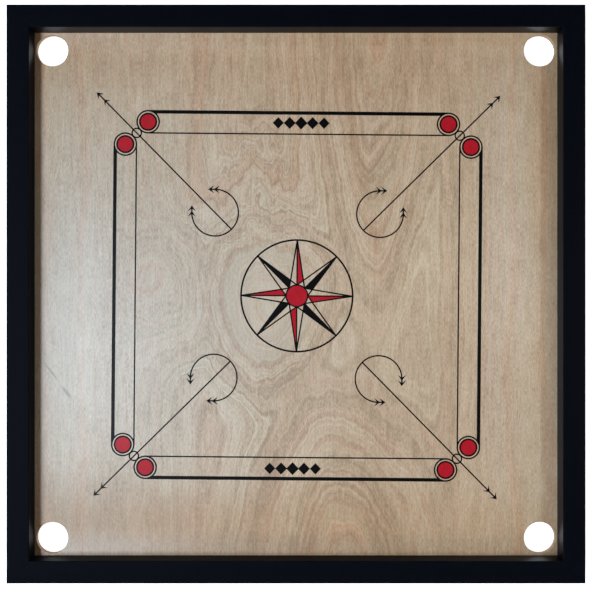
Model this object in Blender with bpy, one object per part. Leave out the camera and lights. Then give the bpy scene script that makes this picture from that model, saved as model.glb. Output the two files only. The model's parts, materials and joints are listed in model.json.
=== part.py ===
"""A carrom board: a plywood playing panel set up into the rebates of four mitred rails.

Two pairs of battens, half-lapped where they cross, stiffen the panel from below. Metres, +Z up.
The origin is in the middle of the underside. +X is the right-hand side, +Y is the back, and the
grain of the playing face runs along Y.
"""
import math

import bmesh
import bpy
from mathutils import Vector

# Driving dimensions
PLAY = 0.740             # playing face, from rail to rail
RAIL_WIDTH = 0.0315
RAIL_HEIGHT = 0.050
WALL = 0.022             # how far the rails stand above the playing face
PLY = 0.006              # thickness of the playing panel
REBATE = 0.008           # how far the panel runs out under the rails
POCKET_DIAMETER = 0.0445
POCKET_LAND = 0.0025     # playing face left between a pocket and the rail
BATTEN_WIDTH = 0.032
BATTEN_LIFT = 0.002      # underside of the battens above the surface that the rails stand on
BATTEN_OFFSET = 0.150    # centre line of a batten from the middle of the board
GAP = 0.0003             # between pieces that touch

# Edges of the rails
TOP_ROUND = 0.0020
INNER_ROUND = 0.0015
FOOT_ROUND = 0.0010

# Screws: the length, shank diameter and head diameter of each kind
CORNER_SCREW = (0.050, 0.0040, 0.0080)
BATTEN_SCREW = (0.060, 0.0040, 0.0080)
LAP_SCREW = (0.016, 0.0035, 0.0070)
HEAD_RIM = 0.0004        # straight edge of a countersunk head
HEAD_SINK = 0.0003       # head below the face that it is driven into
POINT = 0.0040           # length of a screw's point
RECESS_WIDTH = 0.0009
RECESS_SPAN = 0.55       # of the head's diameter
RECESS_DEPTH = 0.0016
UPPER_SCREW = 0.0385     # height of the corner screws above the rebate
LOWER_SCREW = 0.0115     # height of the corner screws beside it
RUNOUT = 0.001           # how far a cutter starts outside the face it enters

POCKET_SIDES = 48
TURNED_SIDES = 12

# Worked out from them
HALF_PLAY = PLAY / 2
HALF_OUTER = HALF_PLAY + RAIL_WIDTH
FACE_Z = RAIL_HEIGHT - WALL
PANEL_UNDERSIDE = FACE_Z - PLY
POCKET_OFFSET = HALF_PLAY - POCKET_LAND - POCKET_DIAMETER / 2
BATTEN_TOP = PANEL_UNDERSIDE - GAP
BATTEN_MIDDLE = (BATTEN_LIFT + BATTEN_TOP) / 2
UPPER_LINE = HALF_OUTER - RAIL_WIDTH / 2
REBATE_WALL = REBATE + GAP
LOWER_LINE = HALF_OUTER - (RAIL_WIDTH - REBATE_WALL) / 2

SIDES = {"back": (0, 1), "left": (-1, 0), "front": (0, -1), "right": (1, 0)}
CORNERS = {"back_right": (1, 1), "back_left": (-1, 1), "front_left": (-1, -1), "front_right": (1, -1)}


def clear_scene():
    """Take out what a new file holds."""
    for item in list(bpy.data.objects):
        bpy.data.objects.remove(item, do_unlink=True)


def material(name, colour, roughness, metallic=0.0):
    """A plain surface of one colour."""
    surface = bpy.data.materials.new(name)
    surface.use_nodes = True
    shader = surface.node_tree.nodes["Principled BSDF"]
    shader.inputs["Base Color"].default_value = (*colour, 1.0)
    shader.inputs["Roughness"].default_value = roughness
    shader.inputs["Metallic"].default_value = metallic
    return surface


def add_object(name, bm, surface):
    """Put a finished bmesh in the scene under its name, with its faces pointing out."""
    bmesh.ops.recalc_face_normals(bm, faces=bm.faces)
    mesh = bpy.data.meshes.new(name)
    bm.to_mesh(mesh)
    bm.free()
    if surface:
        mesh.materials.append(surface)
    item = bpy.data.objects.new(name, mesh)
    bpy.context.collection.objects.link(item)
    return item


def as_cutter(item):
    """Mark an object as a tool that only cuts others."""
    item.hide_render = True
    item.display_type = "WIRE"
    return item


def cut(item, cutter):
    """Take a cutter's shape out of an object."""
    modifier = item.modifiers.new("cut_" + cutter.name, "BOOLEAN")
    modifier.operation = "DIFFERENCE"
    modifier.solver = "EXACT"
    modifier.object = cutter


def arc(centre, radius, start, end, steps):
    """Points on a round edge, from one angle to another in degrees."""
    points = []
    for step in range(steps + 1):
        angle = math.radians(start + (end - start) * step / steps)
        points.append((centre[0] + radius * math.cos(angle), centre[1] + radius * math.sin(angle)))
    return points


def loft(rings):
    """A closed solid through a row of rings that have the same number of corners."""
    bm = bmesh.new()
    loops = [[bm.verts.new(point) for point in ring] for ring in rings]
    for low, high in zip(loops, loops[1:]):
        for index in range(len(low)):
            after = (index + 1) % len(low)
            bm.faces.new((low[index], low[after], high[after], high[index]))
    bm.faces.new(loops[0])
    bm.faces.new(loops[-1])
    return bm


def prism(outline, half_depth):
    """An outline in X and Z, made solid along Y."""
    return loft([[(x, y, z) for x, z in outline] for y in (-half_depth, half_depth)])


def turned(profile):
    """A closed solid of revolution about Z from (radius, height) pairs; radius 0 closes an end."""
    bm = bmesh.new()
    loops = []
    for radius, height in profile:
        if radius == 0:
            loops.append([bm.verts.new((0, 0, height))] * TURNED_SIDES)
            continue
        angles = [2 * math.pi * index / TURNED_SIDES for index in range(TURNED_SIDES)]
        loops.append([bm.verts.new((radius * math.cos(a), radius * math.sin(a), height)) for a in angles])
    for low, high in zip(loops, loops[1:]):
        for index in range(TURNED_SIDES):
            after = (index + 1) % TURNED_SIDES
            corners = dict.fromkeys((low[index], low[after], high[after], high[index]))
            bm.faces.new(list(corners))
    return bm


def rail_section():
    """The closed outline of a rail, rebated from below: distance from its inner wall, and height."""
    outline = arc((REBATE_WALL + FOOT_ROUND, FOOT_ROUND), FOOT_ROUND, 180, 270, 2)
    outline += arc((RAIL_WIDTH - FOOT_ROUND, FOOT_ROUND), FOOT_ROUND, 270, 360, 2)
    outline += arc((RAIL_WIDTH - TOP_ROUND, RAIL_HEIGHT - TOP_ROUND), TOP_ROUND, 0, 90, 4)
    outline += arc((INNER_ROUND, RAIL_HEIGHT - INNER_ROUND), INNER_ROUND, 90, 180, 3)
    return outline + [(0, FACE_Z + GAP), (REBATE_WALL, FACE_Z + GAP)]


def make_rail(name, side, surface):
    """One mitred rail, drawn along X with its inner wall at Y = 0, then turned to its side."""
    section = rail_section()
    reach = HALF_PLAY - GAP / math.sqrt(2)
    ends = [[(end * (reach + across), across, height) for across, height in section] for end in (-1, 1)]
    rail = add_object(name, loft(ends), surface)
    outward = Vector(side)
    rail.location = (*(outward * HALF_PLAY), 0)
    rail.rotation_euler.z = math.atan2(outward.y, outward.x) - math.pi / 2
    rail.data.shade_smooth()
    rail.data.set_sharp_from_angle(angle=math.radians(35))
    return rail


def make_panel(surface):
    """The playing panel with a round pocket through each corner."""
    reach = HALF_PLAY + REBATE
    corners = [(-reach, PANEL_UNDERSIDE), (reach, PANEL_UNDERSIDE), (reach, FACE_Z), (-reach, FACE_Z)]
    panel = add_object("playing_panel", prism(corners, reach), surface)
    for name, corner in CORNERS.items():
        bm = bmesh.new()
        bmesh.ops.create_cone(
            bm, cap_ends=True, segments=POCKET_SIDES, radius1=POCKET_DIAMETER / 2,
            radius2=POCKET_DIAMETER / 2, depth=PLY + 2 * RUNOUT)
        cutter = as_cutter(add_object("pocket_cutter_" + name, bm, None))
        cutter.location = (corner[0] * POCKET_OFFSET, corner[1] * POCKET_OFFSET, FACE_Z - PLY / 2)
        cut(panel, cutter)
    panel.data.shade_smooth()
    panel.data.set_sharp_from_angle(angle=math.radians(35))
    return panel


def batten_outline(lapped_from_below):
    """Side view of a batten along X, notched to half its height where it crosses the other pair."""
    reach = HALF_PLAY + REBATE
    half_notch = BATTEN_WIDTH / 2 + GAP
    notched, whole = BATTEN_TOP, BATTEN_LIFT
    depth = BATTEN_MIDDLE - GAP / 2
    if lapped_from_below:
        notched, whole = BATTEN_LIFT, BATTEN_TOP
        depth = BATTEN_MIDDLE + GAP / 2
    outline = [(-reach, whole), (-reach, notched)]
    for crossing in (-BATTEN_OFFSET, BATTEN_OFFSET):
        outline += [(crossing - half_notch, notched), (crossing - half_notch, depth)]
        outline += [(crossing + half_notch, depth), (crossing + half_notch, notched)]
    return outline + [(reach, notched), (reach, whole)]


def make_batten(name, side, surface):
    """A batten parallel to the rail on its side of the board, fitted between the other two rails."""
    along_x = side[0] == 0
    batten = add_object(name, prism(batten_outline(along_x), BATTEN_WIDTH / 2), surface)
    batten.location = (side[0] * BATTEN_OFFSET, side[1] * BATTEN_OFFSET, 0)
    if not along_x:
        batten.rotation_euler.z = math.pi / 2
    return batten


def screw_mesh(name, kind, surface):
    """A countersunk screw with a cross recess: the head's top at Z = 0, the point below it."""
    length, shank, head = kind
    cone = HEAD_RIM + (head - shank) / 2
    profile = [(0, 0), (head / 2, 0), (head / 2, -HEAD_RIM), (shank / 2, -cone)]
    profile += [(shank / 2, POINT - length), (0, -length)]
    blank = add_object(name, turned(profile), surface)
    span, width = head * RECESS_SPAN / 2, RECESS_WIDTH / 2
    cutters = []
    for half_width, half_depth in ((span, width), (width, span)):
        corners = [(-half_width, -RECESS_DEPTH), (half_width, -RECESS_DEPTH)]
        corners += [(half_width, RUNOUT), (-half_width, RUNOUT)]
        cutters.append(as_cutter(add_object("recess_" + name, prism(corners, half_depth), None)))
        cut(blank, cutters[-1])
    evaluated = blank.evaluated_get(bpy.context.evaluated_depsgraph_get())
    mesh = bpy.data.meshes.new_from_object(evaluated)
    mesh.shade_smooth()
    mesh.set_sharp_from_angle(angle=math.radians(35))
    for item in cutters + [blank]:
        bpy.data.objects.remove(item, do_unlink=True)
    return mesh


def screw_hole(name, kind):
    """The clearance that a screw needs: its own shape, grown by the gap, with a flat end."""
    length, shank, head = kind
    bend = HEAD_RIM + GAP * math.tan(math.radians(22.5))
    cone = bend + (head - shank) / 2
    wide, narrow = head / 2 + GAP, shank / 2 + GAP
    profile = [(0, RUNOUT), (wide, RUNOUT), (wide, -bend), (narrow, -cone)]
    profile += [(narrow, -length - GAP), (0, -length - GAP)]
    return as_cutter(add_object("hole_" + name, turned(profile), None))


def drive_screw(name, kind, mesh, start, direction, pieces):
    """Set a screw in from a face, with its head just below it, and clear its way in the pieces."""
    axis = Vector(direction)
    place = Vector(start) + axis * HEAD_SINK
    turn = axis.to_track_quat("-Z", "Y").to_euler()
    screw = bpy.data.objects.new(name, mesh)
    bpy.context.collection.objects.link(screw)
    hole = screw_hole(name, kind)
    for item in (screw, hole):
        item.location = place
        item.rotation_euler = turn
    for piece in pieces:
        cut(piece, hole)


def drive_corner_screws(rails, surface):
    """Two screws through each mitre: one along X above the rebate, one along Y beside it."""
    mesh = screw_mesh("corner_screw", CORNER_SCREW, surface)
    for name, (x, y) in CORNERS.items():
        end_name, side_name = name.split("_")
        pair = (rails[end_name], rails[side_name])
        upper = (x * HALF_OUTER, y * UPPER_LINE, UPPER_SCREW)
        lower = (x * LOWER_LINE, y * HALF_OUTER, LOWER_SCREW)
        drive_screw(f"corner_screw_{name}_upper", CORNER_SCREW, mesh, upper, (-x, 0, 0), pair)
        drive_screw(f"corner_screw_{name}_lower", CORNER_SCREW, mesh, lower, (0, -y, 0), pair)


def drive_batten_screws(rails, battens, surface):
    """A screw through a rail into each batten end."""
    mesh = screw_mesh("batten_screw", BATTEN_SCREW, surface)
    for batten_name, (x, y) in SIDES.items():
        for rail_name, (across, along) in SIDES.items():
            if x * across + y * along:
                continue
            start = (x * BATTEN_OFFSET + across * HALF_OUTER, y * BATTEN_OFFSET + along * HALF_OUTER)
            drive_screw(
                f"batten_screw_{batten_name}_at_{rail_name}", BATTEN_SCREW, mesh,
                (*start, BATTEN_MIDDLE), (-across, -along, 0), (rails[rail_name], battens[batten_name]))


def drive_lap_screws(battens, surface):
    """A short screw up through each crossing of the battens."""
    mesh = screw_mesh("lap_screw", LAP_SCREW, surface)
    for name, (x, y) in CORNERS.items():
        end_name, side_name = name.split("_")
        start = (x * BATTEN_OFFSET, y * BATTEN_OFFSET, BATTEN_LIFT)
        pair = (battens[end_name], battens[side_name])
        drive_screw(f"lap_screw_{name}", LAP_SCREW, mesh, start, (0, 0, 1), pair)


def main():
    """Build the whole board."""
    clear_scene()
    ply = material("lacquered_ply", (0.58, 0.43, 0.28), 0.32)
    lacquer = material("black_lacquer", (0.010, 0.011, 0.014), 0.38)
    timber = material("batten_timber", (0.60, 0.44, 0.26), 0.65)
    steel = material("blackened_steel", (0.05, 0.05, 0.055), 0.45, 1.0)
    make_panel(ply)
    rails = {name: make_rail("rail_" + name, side, lacquer) for name, side in SIDES.items()}
    battens = {name: make_batten("batten_" + name, side, timber) for name, side in SIDES.items()}
    drive_corner_screws(rails, steel)
    drive_batten_screws(rails, battens, steel)
    drive_lap_screws(battens, steel)


main()
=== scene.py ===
"""The looks of a carrom board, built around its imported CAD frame.

Metres, +Z up, +X to the right-hand rail, +Y to the back rail. The grain of the playing face runs
along Y. Every place and size below comes from the frame, or from the named values that follow.
"""
import json
import math

import bmesh
import bpy
from mathutils import Matrix, Vector


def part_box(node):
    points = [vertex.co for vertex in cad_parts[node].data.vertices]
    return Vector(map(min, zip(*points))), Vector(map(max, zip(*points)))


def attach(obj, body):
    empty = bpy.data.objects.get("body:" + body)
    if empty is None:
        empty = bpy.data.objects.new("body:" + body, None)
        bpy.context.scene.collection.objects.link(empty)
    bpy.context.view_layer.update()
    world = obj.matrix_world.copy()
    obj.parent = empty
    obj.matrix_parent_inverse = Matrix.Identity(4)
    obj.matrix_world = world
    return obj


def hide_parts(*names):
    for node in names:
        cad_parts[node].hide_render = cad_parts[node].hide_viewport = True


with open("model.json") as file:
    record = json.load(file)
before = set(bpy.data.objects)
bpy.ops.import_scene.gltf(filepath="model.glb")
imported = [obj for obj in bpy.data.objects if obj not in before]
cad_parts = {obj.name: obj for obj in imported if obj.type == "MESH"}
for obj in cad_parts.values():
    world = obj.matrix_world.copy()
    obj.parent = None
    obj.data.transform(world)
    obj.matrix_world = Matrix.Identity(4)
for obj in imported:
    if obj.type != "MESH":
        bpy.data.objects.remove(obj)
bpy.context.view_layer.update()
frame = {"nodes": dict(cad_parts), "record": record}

# The frame's own sizes
PANEL_LOW, PANEL_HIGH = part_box("playing_panel")
RAIL_LOW, RAIL_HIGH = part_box("rail_back")
FACE_Z = PANEL_HIGH.z
HALF_PLAY = RAIL_LOW.y
HALF_OUTER = RAIL_HIGH.y
RAIL_TOP = RAIL_HIGH.z
RAIL_WIDTH = HALF_OUTER - HALF_PLAY
SIDES = {"back": (0, 1), "left": (-1, 0), "front": (0, -1), "right": (1, 0)}
OPENINGS = {item["name"]: item["box_m"] for item in frame["record"]["physics"]["openings"]}
POCKETS = [
    ((Vector(low) + Vector(high)) / 2).to_2d()
    for name, (low, high) in OPENINGS.items() if name.startswith("pocket_")]
SCREWS = sorted(name for name in frame["nodes"] if "screw" in name)

# Edges and gaps that the CAD solids have too
POCKET_RADIUS = 0.02225
GAP = 0.0003
MITRE_GAP = 0.00002
REBATE = 0.0083
TOP_ROUND = 0.0020
INNER_ROUND = 0.0015
FOOT_ROUND = 0.0010
MITRE_ARRIS = 0.00015
BATTEN_EASE = 0.0012
RUNOUT = 0.001           # how far a cutter starts outside the face it enters

# The panel's plies from the top down: name, thickness, how far its edge stands back in a pocket
PLIES = [
    ("panel_face_veneer", 0.0007, 0.0),
    ("panel_crossband_upper", 0.0014, 0.00012),
    ("panel_core", 0.0018, 0.00003),
    ("panel_crossband_lower", 0.0014, 0.00012),
    ("panel_back_veneer", 0.0007, 0.0),
]
POCKET_ARRIS = 0.0005
POCKET_ARRIS_STEPS = 4

# How finely round things are drawn, and the angle from which an edge counts as sharp
SHARP_ANGLE = math.radians(32)
POCKET_SIDES = 96
DISC_SIDES = 64
HOLE_SIDES = 48
RIM_STEPS = 8
LINE_END_STEPS = 6
RING_LEAST_STEPS = 12
RING_STEP = 0.05         # one step of a ring, in degrees times metres of its radius

# Screws: sizes as shares of the head's diameter, unless they say otherwise
THREAD_ROOT = 0.175
THREAD_CREST = 0.25
THREAD_PITCH = 0.22
RIDGE_HALF_WIDTH = 0.28  # of a turn
NECK = 0.2               # of the length
HEAD_RIM = 0.0004        # metres
HOLE_RIM = 0.0005        # metres
POINT_LENGTH = 0.0045    # metres
RECESS = (0.29, 0.22, 0.062)  # half its span, its depth, half a slot's width
SCREW_SIDES = 24
ROWS_PER_TURN = 8

# The print, in its own frame: it lies slightly turned and off centre on the face
PRINT_TURN = math.radians(-0.5)
PRINT_SHIFT = (0.0012, -0.0024)
INK_SINK = 0.00002
RED_HEIGHT = 0.00003
BLACK_HEIGHT = 0.00005
HEIGHT_STEP = 0.000004
BASE_NEAR = 0.2128       # a base circle's centre, along its base line
BASE_FAR = 0.2448        # and across it
BASE_RING = (0.01455, 0.01675)
BASE_DISC = 0.0129
DISC_OUTLINE = 0.0024
THICK_LINE = 0.0050
THIN_LINE = 0.0020
CORNER_RING = (0.0055, 0.0075)
CORNER_RING_AT = 0.2288
ARROW_START = 0.0932
ARROW_TIP = 0.2858
ARROW_WIDTH = 0.0020
HEAD_LENGTH = 0.0089
HEAD_HALF_WIDTH = 0.0059
HEAD_NOTCH = 0.0046
HEAD_SPACING = 0.0138
ARC_CENTRE = 0.1168
ARC_RADIUS = 0.0330
ARC_HEAD_FIRST = 0.0026  # how far the inner arrowhead's tip runs past the end of the arc
ARC_HEAD_SPACING = 0.0076
CENTRE_RING = (0.0778, 0.0803)
STAR_TIP = 0.0790
STAR_HALF_ANGLE = math.radians(9)
STAR_LINE = 0.0020
STAR_DISC = 0.0163
LOZENGES = 5             # generic ornament in the back and front channels
LOZENGE_SPACING = 0.0162
LOZENGE_HALF_HEIGHT = 0.0092
LOZENGE_HALF_WIDTH = 0.0090
LOZENGE_SHRINK = 0.06    # how much smaller each one is than the next towards the middle
ORNAMENT_DRIFT = 0.0040  # how far each row sits to one side of the middle

# The inks: two colours that they vary between, gloss, roughness of the gloss
INKS = {
    "black_ink": ((0.0032, 0.0026, 0.0026), (0.0018, 0.0015, 0.0018), 0.11, 0.34),
    "red_ink": ((0.46, 0.01, 0.02), (0.37, 0.007, 0.014), 0.22, 0.36),
}

# Figure of the face veneer: hearts (place, width and length of one growth layer round it)
FACE_HEARTS = [
    ((0.07, -0.39), (0.021, 0.037)),
    ((0.112, 0.43), (0.0115, 0.068)),
    ((-0.04, -0.012), (0.0135, 0.0185)),
    ((-0.205, 0.005), (0.012, 0.016)),
    ((-0.33, 0.0), (0.019, 4.0)),
    ((0.33, 0.0), (0.017, 4.0)),
]
LAYER_BLEND = 3.0        # how softly the layers of one heart run into the next's
FACE_LIVELY = ((0.03, -0.02), (0.19, 0.42))
FACE_QUIET = ((0.14, -0.08), (0.09, 0.1))
# Scuffs on the face: place, size, drift in X along Y
SCUFFS = [((-0.3475, -0.109), (0.0017, 0.011), -0.78), ((-0.325, -0.139), (0.003, 0.008), -0.71)]
FACE_CHURN = ((-0.085, 0.17), (0.095, 0.11))
ISLAND = ((-0.06, -0.012), (0.08, 0.13))
ISLAND_EDGE = 0.46
ISLAND_COLOUR = (0.61, 0.475, 0.335)
SHORE_COLOUR = (0.36, 0.235, 0.145)
VESSEL_COLOUR = (0.24, 0.155, 0.1)
SCRATCH_COLOUR = (0.74, 0.6, 0.44)
SCUFF_COLOUR = (0.17, 0.13, 0.1)

# Tone and hue of the wood: position along the factor, colour
FACE_TONES = [
    (0.1, (0.368, 0.23, 0.132)), (0.36, (0.478, 0.328, 0.203)),
    (0.6, (0.556, 0.396, 0.254)), (0.92, (0.65, 0.5, 0.35))]
HUES = [(0.36, (1.04, 0.96, 0.92)), (0.5, (1.0, 1.0, 1.0)), (0.64, (0.985, 1.01, 0.99))]

# The back veneer's hearts, churned patch and tones
BACK_HEARTS = [
    ((-0.1, 0.36), (0.016, 0.07)), ((0.16, -0.3), (0.02, 0.09)), ((0.42, 0.0), (0.018, 4.0))]
BACK_CHURN = ((0.0, 0.0), (0.1, 0.16))
BACK_TONES = [(0.25, (0.25, 0.155, 0.09)), (0.5, (0.35, 0.24, 0.15)), (0.8, (0.43, 0.31, 0.2))]
BACK_VESSEL_COLOUR = (0.15, 0.09, 0.055)

# Streaks that follow the grain: place, size, softness, drift in X along Y, amount, tint
FACE_STREAKS = [
    ((0.082, 0.225), (0.011, 0.15), 0.7, -0.185, 0.9, (0.93, 0.86, 0.82)),
    ((0.155, 0.275), (0.009, 0.12), 0.7, 0.05, 0.7, (0.95, 0.89, 0.86)),
    ((0.118, 0.075), (0.02, 0.05), 0.7, 0.0, 0.8, (0.94, 0.87, 0.83)),
    ((0.022, 0.3), (0.01, 0.13), 0.7, -0.1, 0.7, (0.96, 0.9, 0.85)),
    ((0.268, -0.05), (0.006, 0.27), 0.7, 0.02, 0.8, (0.97, 0.91, 0.88)),
    ((0.03, -0.2), (0.09, 0.02), 0.8, 0.0, 0.6, (0.96, 0.91, 0.88)),
    ((-0.045, -0.3), (0.018, 0.08), 0.7, 0.12, 0.8, (0.94, 0.88, 0.84)),
    ((0.02, -0.33), (0.014, 0.055), 0.7, 0.1, 0.8, (0.93, 0.86, 0.82)),
    ((0.215, -0.22), (0.012, 0.14), 0.7, -0.05, 0.6, (0.95, 0.92, 0.9)),
    ((-0.12, 0.15), (0.04, 0.02), 0.8, 0.0, 0.7, (0.96, 0.9, 0.88)),
    ((-0.205, 0.0), (0.02, 0.024), 0.6, 0.0, 0.7, (0.94, 0.88, 0.88)),
    ((0.33, 0.2), (0.03, 0.06), 0.6, 0.0, 0.8, (1.05, 1.06, 1.07)),
    ((0.292, 0.04), (0.036, 0.26), 0.6, 0.0, 0.8, (1.04, 1.11, 1.23)),
    ((-0.35, -0.08), (0.028, 0.23), 0.6, 0.0, 0.8, (0.935, 0.925, 0.925)),
    ((-0.285, 0.13), (0.04, 0.11), 0.7, 0.0, 0.8, (1.02, 1.05, 1.09)),
]

# Stains on the face, and painted shade and sheen: place, size, softness, amount, tint
FACE_STAINS_AND_PAINTED_LIGHT = [
    # painted shadow beside the right rail
    ((0.372, 0.0), (0.025, 1.5), 0.12, 0.75, (0.72, 0.68, 0.62)),
    ((-0.36, 0.36), (0.12, 0.06), 0.6, 0.5, (0.9, 0.84, 0.74)),
    ((0.0, -0.385), (0.6, 0.1), 0.35, 0.8, (0.92, 0.85, 0.76)),
    ((0.0, 0.385), (0.6, 0.1), 0.5, 0.6, (1.04, 0.93, 0.84)),
    ((0.07, -0.36), (0.11, 0.1), 0.7, 0.7, (0.93, 0.88, 0.82)),
    ((-0.25, -0.3), (0.1, 0.035), 0.5, 0.5, (0.93, 0.87, 0.8)),
    ((-0.31, -0.32), (0.14, 0.085), 0.6, 0.7, (0.92, 0.88, 0.86)),
    ((-0.16, -0.34), (0.09, 0.045), 0.7, 0.7, (0.95, 0.86, 0.78)),
    ((0.03, 0.26), (0.19, 0.13), 0.6, 0.6, (1.0, 0.955, 0.93)),
    # painted shade beside the right rail, towards the back
    ((0.36, 0.22), (0.03, 0.14), 0.5, 0.6, (0.95, 0.84, 0.72)),
    ((0.17, -0.2), (0.13, 0.13), 0.7, 0.6, (0.91, 0.9, 0.91)),
    ((0.34, -0.25), (0.06, 0.1), 0.7, 0.5, (0.93, 0.94, 0.96)),
    # painted cool sheen of the window light over the left of the face
    ((-0.3, -0.06), (0.26, 0.27), 0.8, 0.9, (0.86, 0.97, 1.12)),
    # painted shade: beside the left rail, beside the right rail towards the back, and along the back
    # and front rails
    ((-0.366, 0.0), (0.01, 1.5), 0.35, 0.8, (0.62, 0.6, 0.58)),
    ((0.368, 0.2), (0.016, 0.14), 0.5, 0.6, (0.88, 0.85, 0.8)),
    ((0.0, 0.37), (1.5, 0.016), 0.6, 0.8, (0.86, 0.84, 0.79)),
    ((0.0, -0.37), (1.5, 0.012), 0.5, 0.6, (0.88, 0.86, 0.84)),
]

# Camera
CAMERA_HEIGHT = 0.962    # above the playing face
CAMERA_FORWARD = -0.0083
CAMERA_SPAN = 0.85      # what the long side of the picture takes in at the playing face

# Lamps: name, centre, what it is aimed at, size, radiance, colour
LAMPS = [
    ("window", (-1.84, -0.44, 3.23), (0.0, 0.0, FACE_Z), (1.9, 0.52), 36.0, (0.84, 1.0, 1.18)),
    ("strip_right", (1.13, -0.05, 0.83), (0.3, 0.0, FACE_Z), (0.22, 1.3), 5.6, (1.0, 0.94, 0.86)),
    ("strip_front", (0.1, -1.5, 0.9), (0.0, -0.3, FACE_Z), (1.8, 0.5), 1.9, (1.0, 0.96, 0.9)),
]
ROOM_COLOUR = (0.03, 0.03, 0.03)

# Backdrop
FLOOR_DROP = 0.0005      # how far the paper lies below the board
FLOOR_MIDDLE = 0.6
FLOOR_REACH = 3.0        # radius of the flat floor
FLOOR_SWEEP = 1.2        # radius of its curve up to the wall
WALL_TOP = 6.0
BACKDROP_SIDES = 96
GLOW = (0.86, 0.14)      # how brightly the paper glows by itself, and how much more round the board
GLOW_REACH = 1.6 * HALF_OUTER


# ---------------- mesh helpers

def to_mesh(name, bm):
    """A mesh from a bmesh, which is freed."""
    mesh = bpy.data.meshes.new(name)
    bm.to_mesh(mesh)
    bm.free()
    return mesh


def add_object(name, data):
    """A new object in the scene."""
    item = bpy.data.objects.new(name, data)
    bpy.context.scene.collection.objects.link(item)
    return item


def finish_piece(name, bm, material, slot):
    """Make a bmesh a shaded object that rides on the board."""
    bmesh.ops.recalc_face_normals(bm, faces=bm.faces)
    piece = add_object(name, to_mesh(name, bm))
    dress(piece, material)
    return piece


def dress(piece, material):
    """Shade a piece smooth between its sharp edges, give it its material and let it ride."""
    piece.data.shade_smooth()
    piece.data.set_sharp_from_angle(angle=SHARP_ANGLE)
    piece.data.materials.clear()
    piece.data.materials.append(material)
    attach(piece, "root")


def arc(centre, radius, start, end, steps):
    """Points on an arc, from one angle to another in degrees."""
    angles = [math.radians(start + (end - start) * step / steps) for step in range(steps + 1)]
    return [(centre[0] + radius * math.cos(a), centre[1] + radius * math.sin(a)) for a in angles]


def stitch(bm, loops):
    """Faces from each loop of vertices to the next: triangles where a vertex is repeated."""
    for low, high in zip(loops, loops[1:]):
        for index in range(len(low)):
            after = (index + 1) % len(low)
            corners = (low[index], low[after], high[after], high[index])
            bm.faces.new(list(dict.fromkeys(corners)))


def loft(bm, rings):
    """A closed solid through rings of points, capped at both ends."""
    loops = [[bm.verts.new(point) for point in ring] for ring in rings]
    stitch(bm, loops)
    bm.faces.new(loops[0])
    bm.faces.new(loops[-1])


def hoop(bm, radius, height, sides):
    """A loop of vertices round Z, or one vertex repeated where the radius is 0."""
    if radius == 0:
        return [bm.verts.new((0, 0, height))] * sides
    angles = [2 * math.pi * index / sides for index in range(sides)]
    return [bm.verts.new((radius * math.cos(a), radius * math.sin(a), height)) for a in angles]


def turned(bm, profile, sides):
    """A surface of revolution about Z from (radius, height) pairs; radius 0 closes an end."""
    stitch(bm, [hoop(bm, radius, height, sides) for radius, height in profile])


def add_slab(bm, outline, top):
    """A thin closed layer of ink with this outline, sunk a little into the face."""
    loft(bm, [[(x, y, FACE_Z + height) for x, y in outline] for height in (-INK_SINK, top)])


def add_ring(bm, centre, radii, top, start=0.0, end=360.0):
    """A thin closed ring of ink, or a stretch of one between two angles in degrees."""
    steps = max(RING_LEAST_STEPS, int(abs(end - start) * radii[1] / RING_STEP))
    inner, outer = [arc(centre, radius, start, end, steps) for radius in radii]
    low, high = FACE_Z - INK_SINK, FACE_Z + top
    whole = abs(end - start) >= 360.0
    sections = []
    for index in range(steps if whole else steps + 1):
        (ix, iy), (ox, oy) = inner[index], outer[index]
        section = [(ix, iy, low), (ox, oy, low), (ox, oy, high), (ix, iy, high)]
        sections.append([bm.verts.new(point) for point in section])
    stitch(bm, sections)
    if whole:
        stitch(bm, [sections[-1], sections[0]])
    else:
        bm.faces.new(sections[0])
        bm.faces.new(sections[-1])


def add_bar(bm, start, end, width, top):
    """A straight line of ink."""
    start, end = Vector(start), Vector(end)
    side = (end - start).normalized().orthogonal() * width / 2
    add_slab(bm, [start + side, start - side, end - side, end + side], top)


def add_channel_line(bm, quarter, level, width, top):
    """A base line between two circles, its ends cut to the circles' outlines."""
    radius = BASE_RING[1]
    edges = (level - width / 2 - BASE_FAR, level + width / 2 - BASE_FAR)
    low, high = [math.degrees(math.asin(max(-1.0, min(1.0, edge / radius)))) for edge in edges]
    left = arc((-BASE_NEAR, BASE_FAR), radius, low, high, LINE_END_STEPS)
    outline = left + [(-x, y) for x, y in reversed(left)]
    add_slab(bm, [turned_about(point, quarter) for point in outline], top)


def add_disc(bm, centre, radius, top):
    """A filled circle of ink."""
    add_slab(bm, arc(centre, radius, 0, 360, DISC_SIDES)[:-1], top)


def add_arrowhead(bm, tip, direction, top):
    """A barbed arrowhead with its point at the tip."""
    tip, forward = Vector(tip), Vector(direction).normalized()
    back, side = forward * HEAD_LENGTH, forward.orthogonal() * HEAD_HALF_WIDTH
    add_slab(bm, [tip, tip - back + side, tip - forward * HEAD_NOTCH, tip - back - side], top)


def cut_out(piece, cutters):
    """Take closed shapes, given as bmeshes, out of a piece and keep the result as its mesh."""
    tools = []
    for cutter in cutters:
        bmesh.ops.recalc_face_normals(cutter, faces=cutter.faces)
        tools.append(add_object("cutter", to_mesh("cutter", cutter)))
        modifier = piece.modifiers.new("cut", "BOOLEAN")
        modifier.operation = "DIFFERENCE"
        modifier.solver = "EXACT"
        modifier.object = tools[-1]
    bpy.context.view_layer.update()
    evaluated = piece.evaluated_get(bpy.context.evaluated_depsgraph_get())
    mesh = bpy.data.meshes.new_from_object(evaluated)
    piece.modifiers.clear()
    piece.data = mesh
    for tool in tools:
        bpy.data.objects.remove(tool, do_unlink=True)


# ---------------- material helpers

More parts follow.
